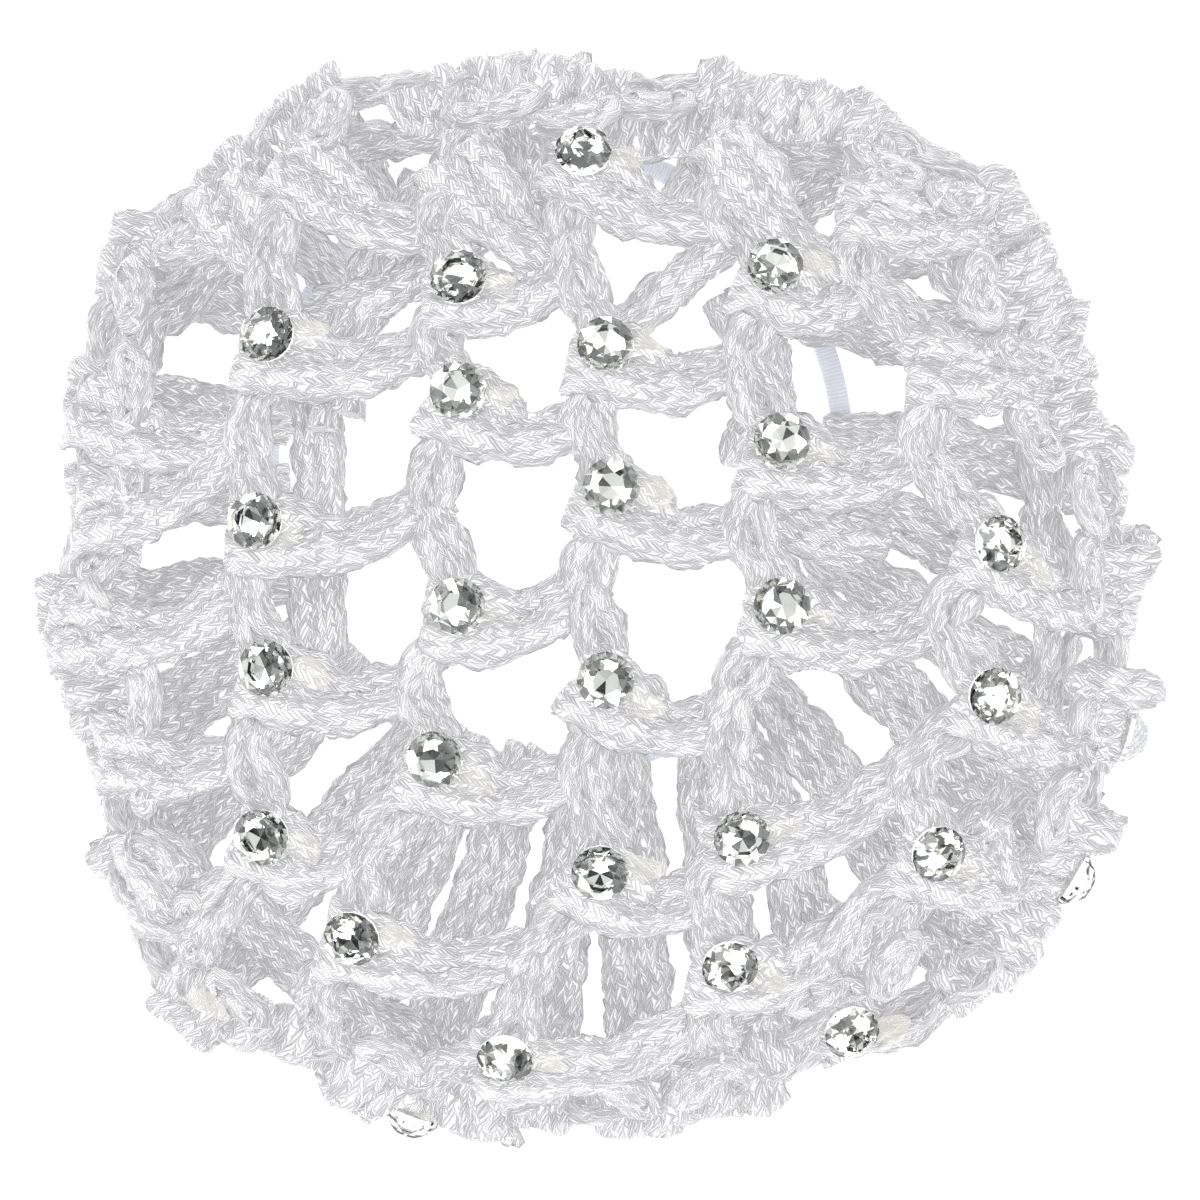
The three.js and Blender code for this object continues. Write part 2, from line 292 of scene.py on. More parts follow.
def halfway(start, end, leftward=0, downward=0):
    """The place on the crown between two others, moved in the plan."""
    middle = (start[0] + end[0]) / 2
    return crown_station(middle[0] - leftward, middle[1] - downward)


STEPS_TO_NEXT = 12  # points of a curve from one given place to the next


def smooth_line(places):
    """The Catmull-Rom curve through the places."""
    places = np.asarray(places, float)
    ends = np.vstack([2 * places[0] - places[1], places, 2 * places[-1] - places[-2]])
    t = np.linspace(0, 1, STEPS_TO_NEXT, endpoint=False)[:, None]
    pieces = []
    for a, b, c, d in zip(ends, ends[1:], ends[2:], ends[3:]):
        pieces.append(0.5 * (2 * b + (c - a) * t + (2 * a - 5 * b + 4 * c - d) * t ** 2
                             + (3 * b - a - 3 * c + d) * t ** 3))
    return np.vstack([*pieces, places[-1:]])


class Guide:
    """The middle line of a strand, with its outer side."""

    def __init__(self, stations):
        self.places = smooth_line([place for place, _ in stations])
        self.tangents = unit(np.gradient(self.places, axis=0))
        outward = smooth_line([side for _, side in stations])
        outward = outward - self.tangents * np.sum(outward * self.tangents, axis=1, keepdims=True)
        self.outward = unit(outward)
        self.across = np.cross(self.outward, self.tangents)
        lengths = np.linalg.norm(np.diff(self.places, axis=0), axis=1)
        self.reached = np.concatenate([[0], np.cumsum(lengths)])
        self.length = self.reached[-1]

    def axes_at(self, along):
        """The place and the axes along, across and out, that far along. Past its ends a guide is straight."""

        def read(columns):
            return np.array([np.interp(along, self.reached, column) for column in columns.T])

        place, tangent, across, outward = (
            read(columns) for columns in (self.places, self.tangents, self.across, self.outward))
        beyond = along - min(max(along, 0), self.length)
        return place + unit(tangent) * beyond, np.stack([unit(tangent), unit(across), unit(outward)])

    def place(self, along, across, out, facing):
        """The place beside the guide, and which way a tape faces there, given along the guide's axes."""
        place, axes = self.axes_at(along)
        return place + across * axes[1] + out * axes[2], unit(np.asarray(facing, float)) @ axes


TAPE_STEP = 0.42  # between two rings of a tape's mesh
TAPE_SIDES = 14
TAPE_ROUNDNESS = 0.8  # 1 for an oval section, and less for a boxy one
EDGE_CURL = 0.35  # of the tape's two edges to its back, as a share of its thickness
CREASE_SIZE = 0.16  # along a tape, as a share of its thickness
LEAST_HEIGHT = 0.02  # over the floor
OCTAVES = (1, 0.47, 0.23)  # of a wave, as shares of its length and size
ANY_PHASE = 6.28


class Tape:
    """Knit tape laid along many paths, and joined as one mesh."""

    def __init__(self, seed):
        self.random = np.random.default_rng(seed)
        self.points, self.faces, self.maps = [], [], []
        self.count = 0

    def wave(self, along, length, size):
        """Uneven pull of the yarn: a smooth wave of about that length, of chance height."""
        total = np.zeros_like(along)
        for octave in OCTAVES:
            phase = self.random.uniform(0, ANY_PHASE)
            total += octave * np.sin(2 * np.pi * along / (length * octave) + phase)
        return size * total / sum(OCTAVES)

    def lay(self, controls):
        """Controls are rows of place, facing, width and thickness. The tape runs through all of them."""
        places = smooth_line([row[0] for row in controls])
        facings = smooth_line([row[1] for row in controls])
        sizes = smooth_line([row[2:] for row in controls])
        reached = np.concatenate([[0], np.cumsum(np.linalg.norm(np.diff(places, axis=0), axis=1))])
        rings = max(int(reached[-1] / TAPE_STEP), 4)
        along = np.linspace(0, reached[-1], rings)

        def even(columns):
            return np.stack([np.interp(along, reached, column) for column in columns.T], axis=1)

        places, facings, sizes = even(places), even(facings), even(sizes)
        tangents = unit(np.gradient(places, axis=0))
        facings = unit(facings - tangents * np.sum(facings * tangents, axis=1, keepdims=True))
        across = np.cross(facings, tangents)
        width = sizes[:, 0] * (1 + self.wave(along, length=5.1, size=0.13)) / 2
        thick = sizes[:, 1] * (1 + self.wave(along, length=3.7, size=0.15)) / 2
        lean = self.wave(along, length=6.3, size=0.28)
        facings, across = facings + across * lean[:, None], across - facings * lean[:, None]
        turn = np.arange(TAPE_SIDES) * 2 * np.pi / TAPE_SIDES
        side = np.sign(np.cos(turn)) * np.abs(np.cos(turn)) ** TAPE_ROUNDNESS
        at_edge = np.abs(np.sin(turn)) < 0.1
        rise = np.sin(turn) - EDGE_CURL * at_edge
        crease = 1 + CREASE_SIZE * np.cos(3 * turn + self.wave(along, length=9.0, size=2.5)[:, None])
        crease += CREASE_SIZE / 2 * np.cos(5 * turn + self.wave(along, length=5.0, size=3.0)[:, None])
        ring = (places[:, None] + across[:, None] * (width[:, None] * side * crease)[..., None]
                + facings[:, None] * (thick[:, None] * rise * crease)[..., None])
        ring = pressed(ring)
        ring[..., 2] = np.maximum(ring[..., 2], LEAST_HEIGHT)
        caps = np.stack([places[0], places[-1]])
        caps[:, 2] = np.maximum(caps[:, 2], LEAST_HEIGHT)
        self.points.append(np.vstack([ring.reshape(-1, 3), caps]))
        self.join(rings, along)

    def join(self, rings, along):
        """Faces between the rings and over the two ends, mapped round the tape and along it in mm."""
        first = self.count
        sides = TAPE_SIDES
        i, k = np.meshgrid(np.arange(rings - 1), np.arange(sides), indexing="ij")
        here, there = first + i * sides, first + (i + 1) * sides
        after = (k + 1) % sides
        self.faces.append(np.stack([here + k, here + after, there + after, there + k], -1).reshape(-1, 4))
        low, high = along[i], along[i + 1]
        left, right = k / sides, (k + 1) / sides
        quad = np.stack([np.stack([left, low], -1), np.stack([right, low], -1),
                         np.stack([right, high], -1), np.stack([left, high], -1)], -2)
        self.maps.append(quad.reshape(-1, 2))
        last = first + (rings - 1) * sides
        middle = first + rings * sides
        k = np.arange(sides)
        after = (k + 1) % sides
        ends = ((middle, first + after, first + k, 0), (middle + 1, last + k, last + after, along[-1]))
        for centre, one, two, reach in ends:
            fan = np.stack([np.full(sides, centre), one, two, two], -1)
            self.faces.append(fan)
            self.maps.append(np.tile([[0.5, reach]], (sides * 4, 1)))
        self.count += rings * sides + 2

    def piece(self, name, material):
        """All that was laid, as one finished piece of the net."""
        points = (np.vstack(self.points) + CENTRING) * MM
        faces = np.vstack(self.faces)
        maps = np.vstack(self.maps)
        triangle = faces[:, 2] == faces[:, 3]
        sizes = np.where(triangle, 3, 4)
        keep = np.ones(faces.shape, bool)
        keep[triangle, 3] = False
        mesh = bpy.data.meshes.new(name)
        mesh.vertices.add(len(points))
        mesh.vertices.foreach_set("co", points.ravel())
        mesh.loops.add(int(keep.sum()))
        mesh.loops.foreach_set("vertex_index", faces[keep].astype(np.int32))
        mesh.polygons.add(len(faces))
        mesh.polygons.foreach_set("loop_start", np.concatenate([[0], np.cumsum(sizes)[:-1]]).astype(np.int32))
        mesh.polygons.foreach_set("use_smooth", np.ones(len(faces), bool))
        mesh.uv_layers.new(name="tape").data.foreach_set("uv", maps[keep.ravel()].ravel())
        mesh.update(calc_edges=True)
        mesh.validate()
        piece = bpy.data.objects.new(name, mesh)
        bpy.context.collection.objects.link(piece)
        mesh.materials.append(material)
        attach(piece, "root")
        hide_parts("crown_net")


# painted glow: the tape gives off light in its own knit colour, standing in for light through the thin yarn
# and for fill light in the lower layers
PAINTED_YARN_GLOW = 0.46
WALES = 15  # columns of stitches round the tape
COURSES_A_MM = 1.7
LEG_SLANT = 1.25  # of a stitch's two legs, in courses
STITCH_RELIEF = 0.35 * MM
LEG_ENDS = 0.8  # how far a leg sinks at its two sides, as a share of its height
UNEVENNESS = 900.0  # scale of the noise that shifts the stitches
SHIFT_ACROSS = 0.9  # by that noise, in wales
SHIFT_ALONG = 2.4  # in courses
CLOUDS = 260.0  # scale of the noise that makes lighter and darker patches
DULL_SHARE = 0.6  # of the stitches, which get no painted glint
GLINT_STRENGTH = 1.5
UNSHADED_SHARE = 0.7  # of the stitches, which get no painted shade, as if they lay no deeper than the rest


def knit_finish(name, colour, painted_groove_shade, painted_glint, roughness):
    """Satin knit tape: rows of small slanting stitches that meet in a V. The grooves and some stitches are
    painted darker as shade, some stitches are painted white as glints, and the tape glows in its own colour
    as painted light.
    """
    finish = Finish(name, Specular_IOR_Level=0.35, Roughness=roughness,
                    Emission_Strength=PAINTED_YARN_GLOW)
    mapped = finish.add("ShaderNodeUVMap", {"uv_map": "tape"})
    across = finish.add("ShaderNodeSeparateXYZ", None, mapped)
    along = finish.add("ShaderNodeSeparateXYZ", None, mapped, out=1)
    place = finish.add("ShaderNodeTexCoord", {}, out=3)
    uneven = finish.add("ShaderNodeTexNoise", {}, Vector=place, Scale=UNEVENNESS, Detail=1.0)
    wales = across * WALES + uneven * SHIFT_ACROSS
    leg = (wales.wrapped() * 2 - 1).size()
    courses = along * COURSES_A_MM + leg * LEG_SLANT + uneven * SHIFT_ALONG
    hump = (1 - (courses.wrapped() * 2 - 1) ** 2) * (1 - ((leg * 2 - 1).size() ** 3) * LEG_ENDS)
    cell = finish.add("ShaderNodeCombineXYZ", None, (wales * 2).whole(), courses.whole())
    chance = finish.add("ShaderNodeTexWhiteNoise", {"noise_dimensions": "2D"}, Vector=cell)
    # painted highlight: random stitches are blended towards white at their crests
    painted_glint_mask = hump * chance.over(DULL_SHARE) * GLINT_STRENGTH
    # painted shade: other random stitches are darkened at their crests, as if they lay deeper
    shade = (1 - chance).over(UNSHADED_SHARE) * hump
    cloud = finish.add("ShaderNodeTexNoise", {}, Vector=place, Scale=CLOUDS, Detail=1.5)
    # painted shade: the colour darkens from the crest of each stitch to the groove between stitches
    knit = finish.blend(hump * 0.75 + cloud * 0.5 - shade * 0.7, painted_groove_shade, colour)
    yarn = finish.blend(painted_glint_mask, knit, painted_glint)
    bump = finish.add("ShaderNodeBump", {}, Height=hump, Strength=1.0, Distance=STITCH_RELIEF)
    # the knit colour feeds the painted glow as well as the base colour
    finish.feed(finish.shader, {"Base_Color": yarn, "Emission_Color": yarn, "Normal": bump})
    return finish.material


knit_tape = knit_finish("satin_knit_tape", colour=(0.80, 0.795, 0.82, 1), painted_groove_shade=(0.54, 0.53, 0.55, 1),
                        painted_glint=(0.98, 0.98, 0.98, 1), roughness=0.34)

ROW_PITCH = 6.2  # from one chain stitch to the next
STITCH_BREADTH = (0.8, 1.25)  # the range of a stitch's breadth, as shares of the chain's
STITCH_SHIFT = 0.25  # to either side, in mm
STITCH_SLIDE = 0.08  # along, in stitches
LAST_REACH = 0.25  # of a chain's last stitch past its own pitch, as a share of it
STITCH = [  # along as a share of the pitch, across and out as shares of the stitch's half sizes, facing
    (0.05, -0.15, -0.60, (0.7, 0, -0.7)), (0.14, -0.30, 0.25, (1, 0, 0)),
    (0.38, -0.60, 0.85, (0.3, 0.1, -0.95)), (0.75, -1.00, 0.55, (0, 0.45, -0.9)),
    (1.08, -0.80, 0.00, (-0.4, 0.6, -0.6)), (1.25, 0.00, -0.35, (-0.9, 0, -0.45)),
    (1.08, 0.80, 0.00, (-0.4, -0.6, -0.6)), (0.75, 1.00, 0.55, (0, -0.45, -0.9)),
    (0.38, 0.60, 0.85, (0.3, -0.1, -0.95)), (0.14, 0.30, 0.25, (1, 0, 0)),
    (0.05, 0.15, -0.60, (0.7, 0, 0.7)), (0.35, 0.00, -1.05, (0, 0, 1)), (0.75, 0.00, -1.05, (0, 0, 1)),
]


def chain(tape, guide, pitch, half_width, half_depth, width, thickness):
    """A chain of stitches, each pulled through the one before."""
    count = max(round(guide.length / pitch), 2)
    pitch = guide.length / (count + LAST_REACH)
    sign = 1
    controls = []
    for i in range(count):
        wide = half_width * tape.random.uniform(*STITCH_BREADTH)
        shift = tape.random.uniform(-STITCH_SHIFT, STITCH_SHIFT)
        slide = tape.random.uniform(-STITCH_SLIDE, STITCH_SLIDE)
        for along, across, out, facing in STITCH:
            reached = (i + along + slide) * pitch
            place, side = guide.place(reached, across * wide + shift, out * half_depth, facing)
            controls.append((place, side * sign, width, thickness))
        sign = -sign
    tape.lay(controls)


rows = []
for number, (top, bottom, sway, stitches) in enumerate(ROWS):
    placed = [row_stitch(x, y) for x, y, _ in stitches]
    ends = [*placed, round_station(bottom)]
    landings = [halfway(here, after, leftward=sway * SNOOD_RADIUS) for here, after in zip(ends, ends[1:])]
    line = [round_station(top), *(station for pair in zip(placed, landings) for station in pair), ends[-1]]
    rows.append({"stitches": placed, "landings": landings})
    tape = Tape(seed=number)
    chain(tape, Guide(line), ROW_PITCH, half_width=1.15, half_depth=0.8, width=2.5, thickness=1.3)
    tape.piece(f"row_{number + 1}", knit_tape)


# Links between the rows
# From each stitch of a row a long loop of tape wraps round the row from behind, and its two legs run on to
# the next row on the right, where they pass under it. They hang down a little on the way.
LEFT_LINKS = (132, 158, 169, 182, 196, 210)  # the stitches of the widest round that link to the first row
LEFT_INSET = 0.97  # of the knots on the widest round, as a share of its radius
KNOT_DROP = 1.2  # of a link's start under its stitch, seen from above
LINK_SAG = 1.9
LEG_SPREAD = 1.75
LEG_WIDTH = 3.8
LEG_THICKNESS = 1.0
LEG_STAGGER = 0.2  # of a link's two legs, one over the other
LEG_BREADTH = (0.85, 1.1)  # the range of their spread, as shares of LEG_SPREAD
LINK_LEG = [  # along in mm, and as a share of the link's length; across as a share, out in mm, facing, width
    (0.6, 0, 0.75, -1.6, (0, 0, -1), 0.9), (-1.9, 0, 1, -1.3, (-0.3, 0, -0.9), 1),
    (-2.7, 0, 1, -0.1, (-1, 0, 0), 1), (-2.0, 0, 1, 1.15, (-0.4, 0.1, 0.9), 1),
    (0, 0, 1, 1.35, (0, 0.15, 1), 1), (2.5, 0, 0.95, 1.15, (0, 0.2, 1), 1),
    (0, 0.5, 0.55, 0.5, (0, 0.5, 1), 0.9), (0, 0.78, 0.5, -0.1, (0, 0.5, 1), 0.85),
]
LINK_TAIL = [  # under the next row
    (-1.5, 1, 0.4, -0.6, (0, 0.3, 1), 0.75), (1.3, 1, 0.3, -1.3, (0.3, 0, 1), 0.7),
]
RIM_TAIL = [  # over the widest round, and under it
    (-2.4, 1, 0.8, 0.7, (0, 0.3, 1), 0.95), (0.3, 1, 1, 1.3, (0.2, 0.2, 1), 1),
    (2.2, 1, 1, 0.3, (1, 0, 0.3), 1), (2.2, 1, 0.9, -1.2, (0.8, 0, -0.5), 0.9),
    (0.3, 1, 0.8, -2.0, (0, 0, -1), 0.9),
]


def nearest_in_height(stations, stitch):
    """The one of the stations that lies most nearly level with the stitch, seen from above."""
    return min(stations, key=lambda station: abs(station[0][1] - stitch[0][1]))


def link(tape, start, end, tail):
    """Two legs of tape from a stitch of one row to the next row."""
    knot = crown_station(start[0][0], start[0][1] - KNOT_DROP)
    guide = Guide([knot, halfway(knot, end, downward=LINK_SAG), end])
    for side in (1, -1):
        controls = []
        part = LEG_SPREAD * tape.random.uniform(*LEG_BREADTH)
        for fixed, share, across, out, facing, size in LINK_LEG + tail:
            along = fixed + share * guide.length
            facing = (facing[0], facing[1] * side, facing[2])
            place, normal = guide.place(along, across * part * side, out - LEG_STAGGER * side, facing)
            controls.append((place, normal, LEG_WIDTH * size, LEG_THICKNESS / size))
        tape.lay(controls)


round_stitches = [(stitch[0], round_station(stitch[0])) for stitch in ROUND]
left = [
    crown_station(*(station[0][:2] * LEFT_INSET)) for angle, station in round_stitches if angle in LEFT_LINKS]
first_x = rows[-1]["stitches"][0][0][0]
right = [station for _, station in round_stitches if station[0][0] > first_x]
columns = [{"stitches": left}, *rows, {"landings": right}]
for number, (here, after) in enumerate(zip(columns, columns[1:])):
    tape = Tape(seed=20 + number)
    tail = RIM_TAIL if after["landings"] is right else LINK_TAIL
    for stitch in here["stitches"]:
        link(tape, stitch, nearest_in_height(after["landings"], stitch), tail)
    tape.piece(f"links_{number + 1}", knit_tape)


# Widest round
# The chain of satin tape that runs all round the snood at its widest, where the crown turns over to the
# gathered side. Loops of tape are worked over it in pairs, and small curls of tape lie on it.
tape = Tape(seed=30)
stations = [station for _, station in round_stitches]
closed = Guide([*stations, stations[0]])
chain(tape, closed, pitch=6.0, half_width=1.0, half_depth=0.8, width=2.5, thickness=1.3)

PAIR = (-2.2, 2.2)  # degrees from the middle of a pair of loops to each of them
MISSING_LOOPS = 0.2  # the share of loops that are left out
LOOP_WIDTH = (3.5, 4.9)
LOOP_SLANT = 1.4  # to either side, in degrees
LOOP_THICKNESS = 2.2
LOOP_WANDER = (-0.5, 0.3)  # the range of what is added to a loop's reach
RIM_LOOPS = [  # angle and how far a loop of tape stands out from the round, in mm
    (7, 2.3), (21, 0.1), (36, 1.2), (52, -1.8), (68, 0.6), (83, -2.4), (97, 0.9), (112, -0.6), (126, 0.5),
    (138, -0.4), (163, -0.2), (176, -1.9), (188, 0.8), (203, 0.1), (217, -2.6), (232, 0.3), (245, 2.6),
    (256, 1.6), (268, -2.4), (280, 0.1), (293, -0.9), (308, 1.1), (322, 1.5), (337, 2.5), (348, 2.6),
]
LOOP_SECTION = [  # outwards and upwards from the middle of the round, which way it faces
    (0.1, -1.8, 0.2, -1), (0.4, -0.4, 1, -0.2), (0.2, 1.2, 0.8, 0.6), (-0.7, 1.7, 0, 1),
    (-2.0, 1.0, -0.7, 0.7), (-2.2, -0.4, -1, -0.2), (-1.0, -1.5, -0.4, -0.9), (0.1, -1.8, 0.2, -1),
]
for angle, reach in RIM_LOOPS:
    for turned in PAIR:
        width = tape.random.uniform(*LOOP_WIDTH)
        slant = tape.random.uniform(-LOOP_SLANT, LOOP_SLANT)
        outer = reach + tape.random.uniform(*LOOP_WANDER)
        inner = min(reach, 0)
        if tape.random.uniform() < MISSING_LOOPS:
            continue
        controls = []
        for out, up, face_out, face_up in LOOP_SECTION:
            place, outward = round_station(angle + turned + slant * up / 2)
            at = place + outward * (out + (outer if out > 0 else inner)) + (0, 0, up)
            controls.append((at, outward * face_out + (0, 0, face_up), width, LOOP_THICKNESS))
        tape.lay(controls)

CURL_PITCH = 9  # degrees from one curl to the next
MISSING_CURLS = 0.25
CURL_PLACE = (0.88, 0.96)  # from the snood's middle, as a share of the way to the widest round
CURL_LENGTH = 5.8
CURL_BREADTH = 1.5
CURL_HEIGHT = 0.5  # over the net's surface
CURL_TURNS = 1.075  # of its loop, whose ends overlap
CURL_DROP = 0.03  # of its ends, which follow the net's round
CURL_STATIONS = 8
CURL_SECTION = (2.7, 1.25)  # width and thickness


def curl(tape, place, outward, turned):
    """An end of tape pulled through a stitch, which lies on the net as a small uneven loop."""
    sideways = unit(np.cross((0, 0, 1), outward))
    upwards = np.cross(outward, sideways)
    length = CURL_LENGTH * tape.random.uniform(0.85, 1.2)
    breadth = CURL_BREADTH * tape.random.uniform(0.7, 1.2)
    controls = []
    for turn in np.linspace(0, 2 * CURL_TURNS * math.pi, CURL_STATIONS):
        along, across = length / 2 * math.cos(turn), breadth / 2 * math.sin(turn)
        east = along * math.cos(turned) - across * math.sin(turned)
        north = along * math.sin(turned) + across * math.cos(turned)
        rise = CURL_HEIGHT * (1 + math.cos(2 * turn)) + tape.random.uniform(-0.2, 0.2)
        spread = sideways * east + upwards * north
        at = place + spread + outward * (rise - CURL_DROP * along ** 2)
        controls.append((at, outward + 0.5 * spread / length, *CURL_SECTION))
    tape.lay(controls)


for angle in np.arange(3, 363, CURL_PITCH):
    if tape.random.uniform() < MISSING_CURLS:
        continue
    inside = tape.random.uniform(*CURL_PLACE)
    place, outward = crown_station(*(round_station(angle)[0][:2] * inside))
    curl(tape, place, outward, turned=tape.random.uniform(-0.9, 0.9))
tape.piece("widest_round", knit_tape)


# Elastic
# A ring of white round elastic, 1.8 mm thick and covered with fine rings of thread, that gathers the open
# side of the net. The strands of the gathered side loop round it.
ELASTIC_RADIUS = 0.9
ELASTIC_HALF_WIDTH = 24.4
ELASTIC_HALF_LENGTH = 26.2
ELASTIC_INSET = 4.5
ELASTIC_SIDE = -0.08 * SNOOD_RADIUS
ELASTIC_HEIGHT = 2.05
ELASTIC_MIDDLE = np.array([
    ELASTIC_SIDE, round_radius(90) - ELASTIC_INSET - ELASTIC_HALF_LENGTH, ELASTIC_HEIGHT])
ELASTIC_STEPS = 240
ELASTIC_SIDES = 16
THREAD_RINGS = 530
THREAD_RELIEF = 0.1 * MM

bpy.ops.mesh.primitive_torus_add(major_segments=ELASTIC_STEPS, minor_segments=ELASTIC_SIDES,
                                 major_radius=ELASTIC_HALF_WIDTH * MM, minor_radius=ELASTIC_RADIUS * MM)
elastic = bpy.context.object
elastic.name = "elastic_ring"
for vertex in elastic.data.vertices:
    turn = math.atan2(vertex.co.y, vertex.co.x)
    vertex.co.y += (ELASTIC_HALF_LENGTH - ELASTIC_HALF_WIDTH) * MM * math.sin(turn)
    vertex.co += Vector((ELASTIC_MIDDLE + CENTRING) * MM)
bpy.ops.object.shade_smooth()
# painted glow: the elastic gives off faint light in its own bluish colour
ribbed = Finish("ribbed_elastic", Base_Color=(0.80, 0.83, 0.90, 1), Roughness=0.5,
                Emission_Color=(0.82, 0.85, 0.93, 1), Emission_Strength=0.15)
ring_map = ribbed.add("ShaderNodeUVMap", {"uv_map": "UVMap"})
thread = (ribbed.add("ShaderNodeSeparateXYZ", None, ring_map) * THREAD_RINGS).wrapped()
ribs = 1 - (thread * 2 - 1) ** 2
bump = ribbed.add("ShaderNodeBump", {}, Height=ribs, Strength=0.6, Distance=THREAD_RELIEF)
ribbed.feed(ribbed.shader, {"Normal": bump})
elastic.data.materials.append(ribbed.material)
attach(elastic, "root")
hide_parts("elastic_cord")


# Gathered side
# From each stitch of the widest round two legs of tape wrap over the round, fold under the net and loop round
# the elastic. They draw in to half their spread on the way.
HANGER_SPREAD = (1.5, 1.9)  # the range of a leg's way to the side at its top
END_SPREAD = 0.5  # what is left of it at the elastic
HANGER_WANDER = 0.3  # to either side
HANGER_RISE = 0.4  # over its guide, which a leg loses on its way to the elastic
TOP_SECTION = (3.8, 1.9)  # width and thickness of a leg where it wraps over the widest round
MIDDLE_SECTION = (3.1, 0.9)
END_SECTION = (2.0, 0.9)
HANGER_GAP = 0.9  # from the elastic's surface to the middle of the legs
STRAIGHT_LEAST = 3  # a shorter straight part is left out, and the fold reaches to the elastic
HANGER_TOP = [  # along, out and facing where a leg wraps over the widest round, in mm
    (0.6, -2.0, (0, 0, -1)), (-0.7, -1.5, (-0.6, 0, -0.8)), (-1.0, -0.2, (-1, 0, 0)),
    (-0.8, 1.0, (-0.6, 0, 0.8)), (0.6, 1.3, (0, 0, 1)),
]
HANGER_END = [  # the same past its end, where it loops round the elastic
    (-1.0, 0.1, (0, 0, 1)), (1.6, 0.05, (0, 0, 1)), (3.3, -1.45, (1, 0, 0)), (1.8, -3.0, (0, 0, -1)),
    (-0.4, -2.2, (-0.5, 0, -0.9)), (-2.2, -0.9, (-0.3, 0, -1)),
]


def hanger(tape, start, lean):
    """Two legs of tape from a place on the widest round to the elastic."""
    turn = math.radians(lean) + math.atan2((start[1] - ELASTIC_MIDDLE[1]) / ELASTIC_HALF_LENGTH,
                                           (start[0] - ELASTIC_MIDDLE[0]) / ELASTIC_HALF_WIDTH)
    end = ELASTIC_MIDDLE + (ELASTIC_HALF_WIDTH * math.cos(turn), ELASTIC_HALF_LENGTH * math.sin(turn), 0)
    inward = np.array([end[0] - start[0], end[1] - start[1], 0])
    reach = np.linalg.norm(inward) - ELASTIC_RADIUS - HANGER_GAP
    inward = unit(inward)
    fold = FOLD_REACH if reach > FOLD_REACH + STRAIGHT_LEAST else reach
    stations = []
    for bend in np.linspace(0, math.pi / 2, 4):
        place = start + inward * fold * (1 - math.cos(bend)) - (0, 0, FOLD_DROP * math.sin(bend))
        stations.append((place, -inward * math.cos(bend) - (0, 0, math.sin(bend))))
    if reach > fold:
        place, outward = stations[-1]
        stations.append((place + inward * (reach - fold), outward))
    guide = Guide(stations)
    for side in (1, -1):
        spread = tape.random.uniform(*HANGER_SPREAD) * side
        leg = [(along, out, facing, 1, *TOP_SECTION) for along, out, facing in HANGER_TOP]
        for share in np.linspace(0.25, 0.85, max(int(guide.length / 4), 2)):
            spread_left = 1 - (1 - END_SPREAD) * share
            rise = HANGER_RISE * (1 - share)
            leg.append((share * guide.length, rise, (0, 0, 1), spread_left, *MIDDLE_SECTION))
        for along, out, facing in HANGER_END:
            leg.append((guide.length + along, out, facing, END_SPREAD, *END_SECTION))
        controls = []
        for along, out, facing, share, width, thickness in leg:
            across = spread * share + tape.random.uniform(-HANGER_WANDER, HANGER_WANDER)
            place, normal = guide.place(along, across, out, facing)
            controls.append((place, normal, width, thickness))
        tape.lay(controls)


tape = Tape(seed=40)
for stitch in ROUND:
    hanger(tape, round_station(stitch[0])[0], lean=stitch[2])
tape.piece("gathered_side", knit_tape)


# Lower round
# A second round of chain lies a little inside the widest one and under it, on the strands that go to the
# elastic. Short strands of tape join it to the rows.
LOWER_ROUND = [  # angle and radius in mm
    (0, 39.5), (14, 38.5), (29, 42.5), (41, 40.5), (52, 43.5), (68, 41.8), (83, 39.3), (98, 39.9),
    (113, 42.8), (125, 45), (134, 42.5), (149, 44.5), (161, 42.3), (172, 43), (188, 42.8), (200, 42.3),
    (207, 42.8), (215, 41.3), (229, 40), (245, 40.3), (253, 43), (268, 40.5), (285, 39), (300, 38),
    (309, 38), (321, 36.5), (337, 38.8), (350, 38.5),
]
LOWER_HEIGHT = 3.7
STRAND_SPREAD = 0.9  # of the two legs of a joining strand, to either side
STRAND_WANDER = 0.4
STRAND_SECTION = (3.0, 1.1)
JOINING_STRANDS = [  # the places that each one runs through
    [(-14, 36, 8), (-18.6, 28, 11), (-21, 21, 14), (-22, 15, 17)],
    [(-10, 31, 13), (-17, 26, 13), (-25, 24, 11)],
    [(0.5, 20.5, 23.2), (6, 26, 21), (12, 30.5, 17.5)],
    [(11, 26, 14), (13.5, 19, 16), (12.5, 12, 19)],
    [(13, 9, 18), (17, 6, 18), (23, 4, 16)],
    [(-24, 20, 13), (-23.3, 12, 16), (-24, 4, 17), (-23.5, -5, 17)],
    [(-19, -37, 5), (-26, -30, 5.5), (-32, -24, 5)],
    [(15, -37, 5), (23, -30, 6), (27, -22, 8)],
    [(30, -10, 8), (36, -14, 6), (41, -18, 6)],
    [(-8, 41, 6), (-5.5, 34, 10), (-4, 28, 15)],
]
tape = Tape(seed=50)
stations = []
for angle, reach in [*LOWER_ROUND, LOWER_ROUND[0]]:
    outward = np.array([math.cos(math.radians(angle)), math.sin(math.radians(angle)), 0])
    stations.append((outward * reach + (0, 0, LOWER_HEIGHT), outward + (0, 0, 1)))
chain(tape, Guide(stations), pitch=6.4, half_width=1.3, half_depth=0.6, width=2.7, thickness=1.2)
for places in JOINING_STRANDS:
    for sideways in (-STRAND_SPREAD, STRAND_SPREAD):
        controls = []
        for x, y, z in places:
            slide = tape.random.uniform(-STRAND_WANDER, STRAND_WANDER)
            place = (x + sideways + slide, y + sideways * 0.5 + slide, z)
            controls.append((place, (sideways * 0.3, 0, 1), *STRAND_SECTION))
        tape.lay(controls)
tape.piece("lower_round", knit_tape)


